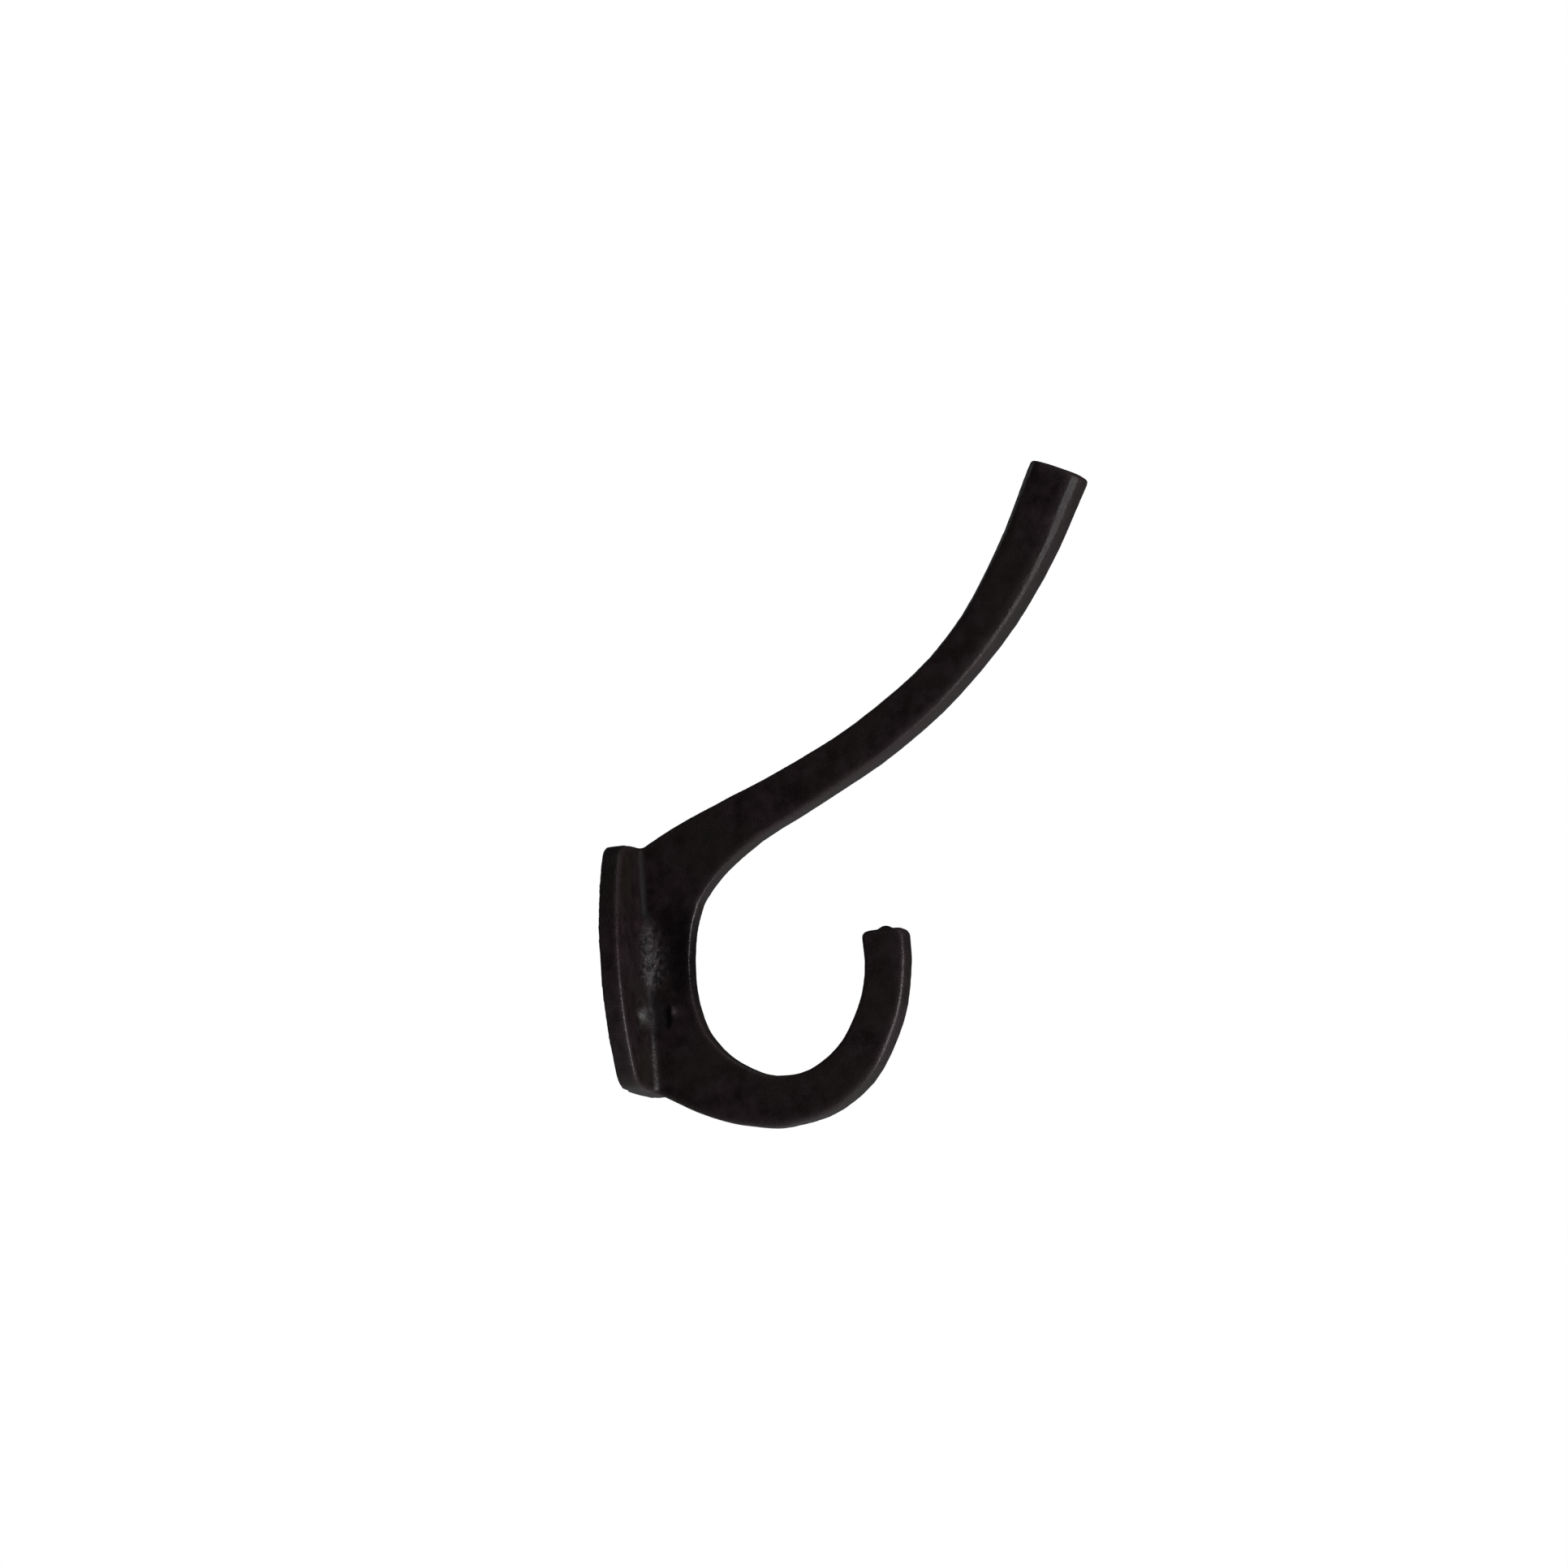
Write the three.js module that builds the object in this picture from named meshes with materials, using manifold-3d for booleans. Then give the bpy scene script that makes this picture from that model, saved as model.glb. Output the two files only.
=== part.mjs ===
// Double hat and coat hook: a one-piece grey iron casting that screws to a wall.
// Millimetres, +Z up. The wall is the plane Y = 0 and the hook projects towards -Y.
// The origin is the centre of the plate's back face.
//
// The casting is drawn as four regions that meet at hairline cuts: the wall plate, the web that
// stands out of it, the long hat prong above and the bent coat prong below.
import * as THREE from "three";
import { mergeVertices } from "three/addons/utils/BufferGeometryUtils.js";
import Module from "manifold-3d";

const wasm = await Module();
wasm.setup();

// Wall plate: an oval cut short at its top and bottom, with slightly arched ends.
const PLATE_WIDTH = 33.2;
const PLATE_HEIGHT = 44.5;
const PLATE_THICKNESS = 3.65;
const PLATE_END_WIDTH = 21.5; // where the side and end arcs would meet
const PLATE_END_RISE = 0.6;
const PLATE_CORNER = 2.4; // how far the rounding of that corner reaches along each arc
const PLATE_ARRIS = 0.5;
const PLATE_ARC_STEPS = 10;
const PLATE_CORNER_STEPS = 3;

// Side view of the arm, as [projection from the wall, height] pairs. Each edge is one smooth curve.
// The upper edge runs from the plate's top to the hat prong's tip.
const UPPER_EDGE = [
  [2, 21], [10.2, 25.1], [19.4, 28.65], [33.7, 34.1], [49.7, 42.1], [64.2, 53.1], [74.3, 66.9], [82.5, 82.8],
];
// The inner edge runs back down the hat prong, through the throat and round the bowl to the coat tip.
const INNER_EDGE = [
  [91, 78.7], [81.6, 62.3], [69, 47.1], [53, 34.65], [37.2, 26.4], [22.4, 18.85], [14.6, 11.5], [12.1, 3],
  [12.1, -6], [14.6, -13.3], [20.8, -19.1], [28.8, -21.6], [36.4, -19], [41.7, -12.5], [44.2, -5.1], [44.2, 1.3],
];
// The lower edge runs from the coat tip round the outside of the bowl to the plate's foot.
const LOWER_EDGE = [
  [52.1, 1.3], [51.9, -5], [48.7, -16.4], [40.9, -26.4], [28, -30.6], [13.7, -27.6], [2, -21.2],
];
const COAT_TIP_TOP = 2.5;
const COAT_TIP_CORNER = 1.2;
const EDGE_STEPS = 5;

// Lateral thickness: even through the web, then growing along each prong to its tip.
const WEB_THICKNESS = 4;
const HAT_TIP_THICKNESS = 8.4;
const COAT_TIP_THICKNESS = 5.4;
const HAT_FLARE_FROM_Z = 19.5;
const HAT_FLARE_TO_Z = 80.5;
const COAT_FLARE_FROM = 18;
const COAT_FLARE_TO = 50;
const ARRIS = 0.8;
const ARRIS_STEPS = 2;

// The stub of the feeder left on the coat tip.
const GATE_STUB_RADIUS = 1.3;
const GATE_STUB_HEIGHT = 0.6;

// Cuts between the regions. Each is a line in the side view through two points.
const CUT_GAP = 0.3;
const HAT_ROOT = [[19.4, 28.5], [24.6, 20.4]];
const COAT_ROOT = [[15.2, -13.9], [9, -25.7]];
const THROAT_HEIGHT = 9.5; // the hat prong lies above this level and the coat prong below it

// Two countersunk screw holes, one each side of the web: low at -X and high at +X.
const SCREW_HOLE_X = 5.8;
const SCREW_HOLE_Z = 9.2;
const SCREW_HOLE_RADIUS = 2.1;
const COUNTERSINK_RADIUS = 3.5;
const COUNTERSINK_DEPTH = 1.6;
const SCALLOP_RADIUS = 4.1;
const SCALLOP_REACH = 7.6; // how far from the wall the screw's clearance is cut into the web
const HOLE_STEPS = 24;

const castIron = { color: 0x1d191a, roughness: 0.55, metalness: 0.35 };

// A closed geometry as a solid that can be joined and cut.
function solidOf(geometry) {
  const bare = geometry.clone();
  bare.deleteAttribute("normal");
  bare.deleteAttribute("uv");
  const merged = mergeVertices(bare, 1e-4);
  const corners = Array.from(merged.index.array);
  const kept = [];
  for (let i = 0; i < corners.length; i += 3) {
    const [a, b, c] = corners.slice(i, i + 3);
    if (a !== b && b !== c && c !== a) kept.push(a, b, c);
  }
  const vertProperties = new Float32Array(merged.attributes.position.array);
  return new wasm.Manifold(new wasm.Mesh({ numProp: 3, vertProperties, triVerts: new Uint32Array(kept) }));
}

function geometryOf(solid) {
  const { vertProperties, triVerts } = solid.getMesh();
  const geometry = new THREE.BufferGeometry();
  geometry.setAttribute("position", new THREE.BufferAttribute(vertProperties, 3));
  geometry.setIndex(new THREE.BufferAttribute(triVerts, 1));
  geometry.computeVertexNormals();
  return geometry;
}

function castMesh(name, solid) {
  const mesh = new THREE.Mesh(geometryOf(solid), new THREE.MeshStandardMaterial(castIron));
  mesh.name = name;
  return mesh;
}

// The radius of an arc from half its chord and its rise.
const arcRadius = (halfChord, rise) => (halfChord ** 2 + rise ** 2) / (2 * rise);

// The plate's outline seen from the front: side and end arcs by turns, with the corners between them rounded.
function plateOutline() {
  const cornerX = PLATE_END_WIDTH / 2;
  const cornerZ = PLATE_HEIGHT / 2 - PLATE_END_RISE;
  const sideRadius = arcRadius(cornerZ, PLATE_WIDTH / 2 - cornerX);
  const endRadius = arcRadius(cornerX, PLATE_END_RISE);
  const sideCentre = PLATE_WIDTH / 2 - sideRadius;
  const endCentre = PLATE_HEIGHT / 2 - endRadius;
  const sideSweep = Math.asin(cornerZ / sideRadius) - PLATE_CORNER / sideRadius;
  const endSweep = Math.asin(cornerX / endRadius) - PLATE_CORNER / endRadius;
  const arcs = [
    [sideCentre, 0, sideRadius, 0, sideSweep],
    [0, endCentre, endRadius, Math.PI / 2, endSweep],
    [-sideCentre, 0, sideRadius, Math.PI, sideSweep],
    [0, -endCentre, endRadius, 1.5 * Math.PI, endSweep],
  ].map(([x, y, radius, middle, sweep]) =>
    new THREE.EllipseCurve(x, y, radius, radius, middle - sweep, middle + sweep).getPoints(PLATE_ARC_STEPS));
  const corners = [[cornerX, cornerZ], [-cornerX, cornerZ], [-cornerX, -cornerZ], [cornerX, -cornerZ]];
  const outline = corners.flatMap(([x, y], i) => {
    const next = arcs[(i + 1) % arcs.length];
    const rounding = new THREE.QuadraticBezierCurve(arcs[i].at(-1), new THREE.Vector2(x, y), next[0]);
    return [...arcs[i], ...rounding.getPoints(PLATE_CORNER_STEPS).slice(1, -1)];
  });
  return new THREE.Shape(outline);
}

// Everything a screw and its head need cleared, turned about +Y with the wall at 0.
function screwClearance() {
  const profile = [
    [0, -1],
    [SCREW_HOLE_RADIUS, -1],
    [SCREW_HOLE_RADIUS, PLATE_THICKNESS - COUNTERSINK_DEPTH],
    [COUNTERSINK_RADIUS, PLATE_THICKNESS],
    [COUNTERSINK_RADIUS, PLATE_THICKNESS + CUT_GAP / 2],
    [SCALLOP_RADIUS, PLATE_THICKNESS + CUT_GAP / 2],
    [SCALLOP_RADIUS, SCALLOP_REACH],
    [0, SCALLOP_REACH],
  ];
  return new THREE.LatheGeometry(profile.map(([r, h]) => new THREE.Vector2(r, h)), HOLE_STEPS);
}

// The plate in its own frame: X across, Y up, Z out from the wall.
function plateSolid() {
  const blank = new THREE.ExtrudeGeometry(plateOutline(), {
    depth: PLATE_THICKNESS - 2 * PLATE_ARRIS,
    bevelThickness: PLATE_ARRIS,
    bevelSize: PLATE_ARRIS,
    bevelOffset: -PLATE_ARRIS,
    bevelSegments: 1,
  }).translate(0, 0, PLATE_ARRIS);
  let plate = solidOf(blank);
  for (const side of [-1, 1]) {
    const hole = screwClearance().rotateX(Math.PI / 2).translate(side * SCREW_HOLE_X, side * SCREW_HOLE_Z, 0);
    plate = plate.subtract(solidOf(hole));
  }
  return plate;
}

const vectors = (pairs) => pairs.map(([x, y]) => new THREE.Vector2(x, y));

// The arm's outline seen from the side: X is the projection from the wall and Y the height.
function armOutline() {
  const [tipInner] = INNER_EDGE.slice(-1);
  const [tipOuter] = LOWER_EDGE;
  const outline = new THREE.Shape();
  outline.moveTo(...UPPER_EDGE[0]);
  outline.splineThru(vectors(UPPER_EDGE.slice(1)));
  outline.lineTo(...INNER_EDGE[0]);
  outline.splineThru(vectors(INNER_EDGE.slice(1)));
  outline.quadraticCurveTo(tipInner[0], COAT_TIP_TOP, tipInner[0] + COAT_TIP_CORNER, COAT_TIP_TOP);
  outline.lineTo(tipOuter[0] - COAT_TIP_CORNER, COAT_TIP_TOP);
  outline.quadraticCurveTo(tipOuter[0], COAT_TIP_TOP, ...tipOuter);
  outline.splineThru(vectors(LOWER_EDGE.slice(1)));
  return outline;
}

// How far a value has come from start to end, held between 0 and 1.
const share = (value, start, end) => THREE.MathUtils.clamp((value - start) / (end - start), 0, 1);

function lateralThickness(projection, height) {
  if (height > THROAT_HEIGHT) {
    const along = share(height, HAT_FLARE_FROM_Z, HAT_FLARE_TO_Z);
    return THREE.MathUtils.lerp(WEB_THICKNESS, HAT_TIP_THICKNESS, along);
  }
  const along = share(projection, COAT_FLARE_FROM, COAT_FLARE_TO);
  return THREE.MathUtils.lerp(WEB_THICKNESS, COAT_TIP_THICKNESS, along);
}

// The web and both prongs as one bar: extruded to the web's thickness, then flared sideways.
function armSolid() {
  const bar = new THREE.ExtrudeGeometry(armOutline(), {
    depth: WEB_THICKNESS - 2 * ARRIS,
    curveSegments: EDGE_STEPS,
    bevelThickness: ARRIS,
    bevelSize: ARRIS,
    bevelOffset: -ARRIS,
    bevelSegments: ARRIS_STEPS,
  }).translate(0, 0, ARRIS - WEB_THICKNESS / 2);
  const place = bar.attributes.position;
  for (let i = 0; i < place.count; i += 1) {
    const spread = lateralThickness(place.getX(i), place.getY(i)) / WEB_THICKNESS;
    place.setZ(i, place.getZ(i) * spread);
  }
  const stub = new THREE.SphereGeometry(GATE_STUB_RADIUS, 16, 8)
    .scale(1, GATE_STUB_HEIGHT / GATE_STUB_RADIUS, 1)
    .translate((INNER_EDGE.at(-1)[0] + LOWER_EDGE[0][0]) / 2, COAT_TIP_TOP, 0);
  return solidOf(bar).add(solidOf(stub));
}

// A cut line as a plane: its normal points from the web towards the prong.
function cutPlane([[x0, y0], [x1, y1]], towards) {
  const normal = new THREE.Vector2(y0 - y1, x1 - x0).normalize();
  const offset = normal.x * x0 + normal.y * y0;
  const flip = normal.x * towards[0] + normal.y * towards[1] < offset ? -1 : 1;
  return { normal: [flip * normal.x, flip * normal.y, 0], offset: flip * offset };
}

const beyond = (solid, { normal, offset }) => solid.trimByPlane(normal, offset + CUT_GAP / 2);
const before = (solid, { normal, offset }) => solid.trimByPlane(normal.map((n) => -n), CUT_GAP / 2 - offset);

function hatProngSolid(arm) {
  const upper = arm.trimByPlane([0, 1, 0], THROAT_HEIGHT);
  return beyond(upper, cutPlane(HAT_ROOT, UPPER_EDGE.at(-1)));
}

function coatProngSolid(arm) {
  const lower = arm.trimByPlane([0, -1, 0], -THROAT_HEIGHT);
  return beyond(lower, cutPlane(COAT_ROOT, LOWER_EDGE[3]));
}

function webSolid(arm) {
  let web = arm.trimByPlane([1, 0, 0], PLATE_THICKNESS + CUT_GAP);
  web = before(web, cutPlane(HAT_ROOT, UPPER_EDGE.at(-1)));
  web = before(web, cutPlane(COAT_ROOT, LOWER_EDGE[3]));
  for (const side of [-1, 1]) {
    // In the side view the width across the hook runs backwards, from +X to -X.
    const scallop = screwClearance().rotateZ(-Math.PI / 2).translate(0, side * SCREW_HOLE_Z, -side * SCREW_HOLE_X);
    web = web.subtract(solidOf(scallop));
  }
  return web;
}

const hook = new THREE.Group();

const plateFrame = new THREE.Group();
plateFrame.rotation.set(Math.PI / 2, 0, 0);
plateFrame.add(castMesh("back_plate", plateSolid()));
hook.add(plateFrame);

// Side view to part frame: its X becomes -Y, its Y becomes +Z and its Z becomes -X.
const armFrame = new THREE.Group();
armFrame.rotation.set(Math.PI / 2, -Math.PI / 2, 0);
const arm = armSolid();
armFrame.add(castMesh("web", webSolid(arm)));
armFrame.add(castMesh("hat_prong", hatProngSolid(arm)));
armFrame.add(castMesh("coat_prong", coatProngSolid(arm)));
hook.add(armFrame);

export default hook;
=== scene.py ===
"""A cast iron hat and coat hook: one casting in a black lacquer, on a pale stage."""

import math

import bmesh
import bpy
from mathutils import Matrix, Vector


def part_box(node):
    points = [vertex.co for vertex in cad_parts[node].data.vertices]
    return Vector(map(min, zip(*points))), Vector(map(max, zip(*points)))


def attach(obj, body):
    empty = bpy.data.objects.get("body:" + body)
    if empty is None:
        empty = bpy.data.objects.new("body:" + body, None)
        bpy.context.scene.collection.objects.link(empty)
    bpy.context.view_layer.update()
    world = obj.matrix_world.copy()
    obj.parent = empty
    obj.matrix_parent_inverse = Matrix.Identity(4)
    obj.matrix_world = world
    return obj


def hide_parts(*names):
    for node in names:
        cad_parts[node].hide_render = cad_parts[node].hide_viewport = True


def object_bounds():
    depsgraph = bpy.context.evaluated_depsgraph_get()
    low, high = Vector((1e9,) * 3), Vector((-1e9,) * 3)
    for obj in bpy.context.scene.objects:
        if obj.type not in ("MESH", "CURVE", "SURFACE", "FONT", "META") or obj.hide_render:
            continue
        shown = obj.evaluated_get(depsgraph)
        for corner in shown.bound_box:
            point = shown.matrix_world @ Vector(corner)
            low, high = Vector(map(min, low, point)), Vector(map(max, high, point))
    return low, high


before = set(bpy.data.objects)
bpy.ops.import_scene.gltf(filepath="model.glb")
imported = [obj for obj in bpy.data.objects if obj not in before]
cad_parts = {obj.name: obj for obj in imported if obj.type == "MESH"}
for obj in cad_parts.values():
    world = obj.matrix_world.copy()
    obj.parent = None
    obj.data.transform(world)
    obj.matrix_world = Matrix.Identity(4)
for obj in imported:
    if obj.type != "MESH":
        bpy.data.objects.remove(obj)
CAD_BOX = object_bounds()

bl_info = {
    "name": "Cast iron hat and coat hook",
    "version": (1, 0, 0),
    "blender": (4, 5, 0),
    "location": "3D View > Sidebar > Hook",
    "description": "Builds a sand-cast hat and coat hook and a pale stage for it",
    "category": "Object",
}

MM = 0.001

# The bar, from the hat prong's tip, down through the web and round the bowl to the coat prong's tip.
# Each station is (projection from the wall, height) on the inner edge, then on the edge across from it, in mm.
# Beside the web, the outer edge runs inside the plate.
STATIONS = [
    ((91.35, 78.6), (82.15, 82.95)),
    ((81.8, 62.15), (74.05, 67.05)),
    ((69.05, 47.05), (64.1, 53.2)),
    ((53, 34.65), (49.7, 42.1)),
    ((37.2, 26.4), (33.7, 34.1)),
    ((22.4, 18.85), (19.4, 28.65)),
    ((14.6, 11.5), (10.2, 25.1)),
    ((13.6, 9.3), (4.4, 22.2)),
    ((12.9, 7.3), (0.6, 20.2)),
    ((12.1, 3), (0.6, 12)),
    ((11.8, -1.6), (0.6, 0)),
    ((12.1, -6), (0.6, -12)),
    ((12.5, -8), (0.6, -20.4)),
    ((13, -9.9), (5, -23)),
    ((14.6, -13.3), (13.7, -27.6)),
    ((20.8, -19.1), (20.8, -29.8)),
    ((28.8, -21.6), (28, -30.6)),
    ((36.4, -19), (40.9, -26.4)),
    ((41.7, -12.5), (48.7, -16.4)),
    ((44.2, -5.1), (51.9, -5)),
    ((44.2, 2.5), (52.1, 2.5)),
]
STATION_STEPS = 4
SECTION_POINTS = 32
TIP_RINGS = 5
FLAT_LIMITS = (0.25, 0.968)  # sine and cosine of the turn at which the round section leaves a flat

# Heights and projections between which the prongs thicken, in mm. The hat prong lies above the throat.
HAT_FLARE = (19.5, 80.5)
COAT_FLARE = (18, 50)
THROAT_HEIGHT = 9.5
# The long edges were eased mostly near the hat tip, so their rounding grows later than the thickness.
HAT_ARRIS_POWER = 1.5

# Countersunk screw holes: (across, height) in mm, low on one side of the web and high on the other.
SCREW_HOLES = [(-5.8, -9.2), (5.8, 9.2)]
# What is cut away for a screw and its head, as (radius, projection) in mm.
SCREW_PROFILE = [(2.1, -1), (2.1, 2.05), (3.5, 3.65), (4.35, 4.05), (4.4, 6.9), (3.9, 7.5)]
SCREW_STEPS = 40

# Radius of the fillet at the web's root by height, in mm: first at -X, where the casting is rough, then at +X.
ROOT_FILLETS = {
    -1: [
        (22, 0.15),
        (10.2, 0.15),
        (8.6, 2.4),
        (3, 3.1),
        (-2.4, 2.2),
        (-4.4, 0.2),
        (-9, 0.2),
        (-13, 1.2),
        (-22, 1.6),
    ],
    1: [(22, 1.6), (-22, 1.6)],
}
FILLET_STEP = 0.9
FILLET_ARC_STEPS = 6
FILLET_SINK = 0.6  # how far its solid runs into the web and the plate

# Small lumps left on the casting: the centre as (across, projection, height), then half sizes, in mm.
# The first is the feeder's stub on the coat tip, and the second a bead of iron where the screw's recess ends.
LUMPS = [((0, 48.15, 2.5), (1.3, 1.3, 0.75)), ((-2.0, 7.9, -7.9), (0.7, 0.5, 0.8))]

# The wall plate, in mm.
PLATE_WIDTH, PLATE_HEIGHT = 33.2, 44.5
PLATE_END_WIDTH = 21.5  # where the side and end arcs would meet
PLATE_END_RISE = 0.6
PLATE_CORNER = 2.4  # how far the rounding of that corner reaches along each arc
PLATE_ARRIS = ((0.2, 0), (0.06, 0.06), (0, 0.2))  # (back from the front face, in from the outline)
PLATE_ARC_STEPS, PLATE_CORNER_STEPS = 16, 5

VOXEL = 0.315  # mm

# Places where the finish differs or shade is painted, each an ellipsoid in the frame: its centre and half sizes
# in mm, then the share of the way out, with the noise that tears its edge added, at which it begins to fade.
PATCH = ((-3.2, -5.0, 1.6), (3.4, 3.5, 8.4), 0.95)  # the rough part of the root fillet at -X
PAINTED_THROAT_SHADE = ((0, -10.6, 2.5), (6, 4.4, 14), 0.75)  # the web beside the throat, darkened as painted shade that stands for its darker reflection
RECESS = ((-2.6, -5.5, -8.9), (2.1, 3.0, 3.0), 0.95)  # the web's side of the low screw's recess, darkened there as painted shade
HIGH_CORNER = ((-2, -4.5, 17), (3, 3, 11), 1.2)  # the web's root with no fillet, darkened there as painted shade
LOW_CORNER = ((-2, -4.5, -5.9), (3, 3, 4), 1.2)  # the same lower down
PLACE_END = 1.45  # the share at which each has faded away
PLACE_RAGGEDNESS = 0.9  # how much that noise adds

# How far a point stands out of its surroundings, or lies below them, in mm.
PROUD_LIMITS = (0.02, 0.16)
SUNKEN_LIMITS = (-0.04, -0.14)
SURROUNDINGS_PASSES = 14
# The most that sunken places are darkened, as painted shade.
CORNER_SHADE = 0.75

# Heights between which the hat prong's arrises go from whole to worn, in mm, and how diagonal an arris is.
WORN_HEIGHTS = (34, 62)
DIAGONAL_LIMITS = (0.06, 0.2)

# The camera stands below the hook and well round to its side, and is rolled a little.
CAMERA_AZIMUTH = -72.0
CAMERA_ELEVATION = -9.5
CAMERA_ROLL = 4.06
CAMERA_DISTANCE = 1.2
CAMERA_TARGET = (0.00408, -0.02987, 0.03147)
CAMERA_VIEW_WIDTH = 0.2811  # metres across the picture at the target
CAMERA_CLIP = (0.1, 20)

# The stage, in metres and watts. Each light is a disc: its name, place, width and power.
LIGHTS = [
    ("key", (-0.28, -0.70, -0.22), 0.3, 6.0),
    ("rim", (0.35, 0.8, 0.5), 0.6, 0.8),
    ("overhead", (-0.7, -0.5, 1.3), 1.2, 4.5),
]
FLOOR_HALF_WIDTH = 6
FLOOR_DROP = 0.45
FLOOR_GLOW = 0.2
WORLD_GLOW = 0.035


def linear(hex_colour):
    """An sRGB hex colour as linear red, green, blue and alpha."""
    parts = [int(hex_colour[i : i + 2], 16) / 255 for i in (1, 3, 5)]
    return [c / 12.92 if c <= 0.04045 else ((c + 0.055) / 1.055) ** 2.4 for c in parts] + [1.0]


def add_node(tree, kind, *values, at=None, **settings):
    """Adds a node. Values go to its inputs in order, and at holds those given by name.

    A value is a socket or node to link from, a constant, or None to leave the input as it is.
    """
    node = tree.nodes.new(kind)
    for name, value in settings.items():
        setattr(node, name, value)
    for key, value in [*enumerate(values), *(at or {}).items()]:
        if isinstance(value, bpy.types.Node):
            tree.links.new(value.outputs[0], node.inputs[key])
        elif isinstance(value, bpy.types.NodeSocket):
            tree.links.new(value, node.inputs[key])
        elif value is not None:
            node.inputs[key].default_value = value
    return node


def add_inputs(tree, sockets):
    """Gives a Geometry Nodes tree its named inputs and one geometry output. Returns the identifiers by name."""
    tree.interface.new_socket("Geometry", in_out="OUTPUT", socket_type="NodeSocketGeometry")
    made = {}
    for name, kind in sockets:
        made[name] = tree.interface.new_socket(name, in_out="INPUT", socket_type=kind).identifier
    return made


def placed(across, projection, height):
    """A point given in mm as its place in the frame, in metres."""
    return Vector((across, -projection, height)) * MM


def edge_curve(name, points):
    """A curve object through points of the side view."""
    curve = bpy.data.curves.new(name, "CURVE")
    curve.dimensions = "3D"
    spline = curve.splines.new("POLY")
    spline.points.add(len(points) - 1)
    for point, (projection, height) in zip(spline.points, points):
        point.co = (*placed(0, projection, height), 1)
    made = bpy.data.objects.new(name, curve)
    bpy.context.scene.collection.objects.link(made)
    return made


def mesh_object(name, mesh):
    made = bpy.data.objects.new(name, mesh)
    bpy.context.scene.collection.objects.link(made)
    return made


def ringed_solid(name, outlines):
    """A closed solid through outlines with equal numbers of points in the frame, capped at both ends."""
    built = bmesh.new()
    rings = [[built.verts.new(point) for point in outline] for outline in outlines]
    for one, two in zip(rings, rings[1:]):
        for j in range(len(one)):
            k = (j + 1) % len(one)
            built.faces.new((one[j], one[k], two[k], two[j]))
    built.faces.new(rings[0])
    built.faces.new(list(reversed(rings[-1])))
    bmesh.ops.recalc_face_normals(built, faces=built.faces)
    mesh = bpy.data.meshes.new(name)
    built.to_mesh(mesh)
    built.free()
    return mesh_object(name, mesh)


def applied(made):
    """Turns an object with modifiers into a plain mesh."""
    depsgraph = bpy.context.evaluated_depsgraph_get()
    mesh = bpy.data.meshes.new_from_object(made.evaluated_get(depsgraph))
    made.modifiers.clear()
    old = made.data
    made.data = mesh
    bpy.data.meshes.remove(old)
    return made


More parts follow.
